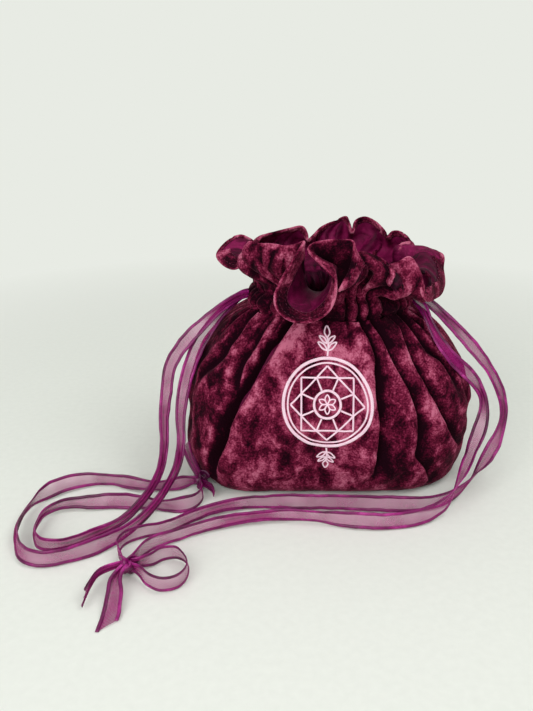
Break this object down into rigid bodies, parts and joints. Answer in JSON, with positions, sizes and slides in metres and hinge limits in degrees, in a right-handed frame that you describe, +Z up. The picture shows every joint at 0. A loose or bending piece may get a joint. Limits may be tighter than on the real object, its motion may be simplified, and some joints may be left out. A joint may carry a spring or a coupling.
{
  "type": "drawstring dice bag",
  "caption": "Lined velvet pouch with a flat bottom and a gathered, frilled mouth that ribbon drawstrings pull shut from the sides, with a stitched motif on the front.",
  "frame": {"origin": "bottom centre of the bag, on the surface it stands on", "axes": "+X to the right as seen from the front, -Y towards the front, +Z up"},
  "size_m": [0.2899, 0.2286, 0.1524],
  "materials": {
    "velvet": "burgundy crushed velvet, short pile with light and dark patches",
    "lining_satin": "plum satin, smooth with a soft sheen",
    "ribbon": "sheer magenta organza with narrow satin edges",
    "thread": "light pink satin-stitched embroidery thread"
  },
  "bodies": {
    "bag": {"outer_base": "velvet", "outer_front_panel": "velvet", "outer_back_panel": "velvet", "lining_base": "lining_satin", "lining_front_panel": "lining_satin", "lining_back_panel": "lining_satin", "embroidered_ring": "thread", "embroidered_star": "thread", "embroidered_heart_ring": "thread", "embroidered_upper_sprig": "thread", "embroidered_lower_sprig": "thread"},
    "mouth_front": {"front_channel": "velvet", "left_ribbon_in_front_channel": "ribbon", "right_ribbon_in_front_channel": "ribbon", "front_frill": "velvet", "front_frill_lining": "lining_satin"},
    "mouth_back": {"back_channel": "velvet", "left_ribbon_in_back_channel": "ribbon", "right_ribbon_in_back_channel": "ribbon", "back_frill": "velvet", "back_frill_lining": "lining_satin"},
    "left_drawstring": {"left_ribbon_outer_strand": "ribbon", "left_ribbon_inner_strand": "ribbon", "left_knot": "ribbon", "left_long_tail": "ribbon", "left_short_tail": "ribbon"},
    "right_drawstring": {"right_ribbon_outer_strand": "ribbon", "right_ribbon_inner_strand": "ribbon", "right_ribbon_ring": "ribbon", "right_knot": "ribbon", "right_wide_tail": "ribbon", "right_thin_tail": "ribbon"}
  },
  "joints": [
    {"name": "left_drawstring_pull", "type": "slide", "parent": "bag", "child": "left_drawstring", "axis": [-1, 0, 0], "range_m": [0, 0.01]},
    {"name": "right_drawstring_pull", "type": "slide", "parent": "bag", "child": "right_drawstring", "axis": [1, 0, 0], "range_m": [0, 0.01]},
    {"name": "front_mouth_cinch", "type": "slide", "parent": "bag", "child": "mouth_front", "axis": [0, 1, 0], "range_m": [0, 0.007], "deforming": ["front_frill", "front_frill_lining"]},
    {"name": "back_mouth_cinch", "type": "slide", "parent": "bag", "child": "mouth_back", "axis": [0, -1, 0], "range_m": [0, 0.007], "deforming": ["back_frill", "back_frill_lining"]}
  ],
  "couplings": [
    {"joint": "right_drawstring_pull", "follows": "left_drawstring_pull", "ratio": 1},
    {"joint": "front_mouth_cinch", "follows": "left_drawstring_pull", "ratio": 0.7},
    {"joint": "back_mouth_cinch", "follows": "left_drawstring_pull", "ratio": 0.7}
  ]
}
